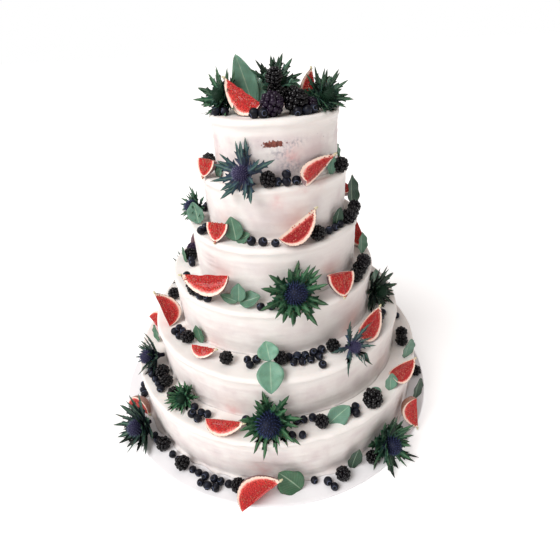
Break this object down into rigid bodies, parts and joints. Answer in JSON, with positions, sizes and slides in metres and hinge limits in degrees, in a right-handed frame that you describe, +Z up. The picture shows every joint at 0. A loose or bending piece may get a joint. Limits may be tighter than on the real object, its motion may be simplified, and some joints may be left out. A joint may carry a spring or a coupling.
{
  "type": "tiered wedding cake",
  "caption": "Tall white tiered wedding cake on a thin round board, with fig pieces, thistles, leaves and dark berries on every ledge.",
  "frame": {"origin": "middle of the board's underside", "axes": "+Z up, the picture's front towards -Y, +X to the right"},
  "size_m": [0.51, 0.5201, 0.4835],
  "materials": {
    "icing": "matt white buttercream, spread thin",
    "board": "plain white board with a satin skin",
    "fig": "moist seeded flesh, pale rind and dusky skin",
    "thistle": "dry spiky head in stiff toothed bracts",
    "leaf": "waxy grey-green leaf"
  },
  "bodies": {
    "root": {"board": "board", "tier_1": "icing", "tier_2": "icing", "tier_3": "icing", "tier_4": "icing", "tier_5": "icing", "tier_6": "icing", "fig_1": "fig", "fig_2": "fig", "fig_3": "fig", "fig_4": "fig", "fig_5": "fig", "fig_6": "fig", "fig_7": "fig", "fig_8": "fig", "fig_9": "fig", "fig_10": "fig", "fig_11": "fig", "fig_12": "fig", "fig_13": "fig", "fig_14": "fig", "fig_15": "fig", "fig_16": "fig", "fig_17": "fig", "fig_18": "fig", "fig_19": "fig", "fig_20": "fig", "fig_21": "fig", "fig_22": "fig", "fig_23": "fig", "fig_24": "fig", "fig_25": "fig", "fig_26": "fig", "fig_27": "fig", "fig_28": "fig", "thistle_1": "thistle", "thistle_2": "thistle", "thistle_3": "thistle", "thistle_4": "thistle", "thistle_5": "thistle", "thistle_6": "thistle", "thistle_7": "thistle", "thistle_8": "thistle", "thistle_9": "thistle", "thistle_10": "thistle", "thistle_11": "thistle", "thistle_12": "thistle", "thistle_13": "thistle", "thistle_14": "thistle", "thistle_15": "thistle", "thistle_16": "thistle", "thistle_17": "thistle", "thistle_18": "thistle", "thistle_19": "thistle", "leaf_top": "leaf", "leaf_tier_3_left": "leaf", "leaf_tier_3_front": "leaf", "sprig_tier_4": "leaf", "leaf_tier_5": "leaf", "leaf_board": "leaf"}
  },
  "joints": []
}
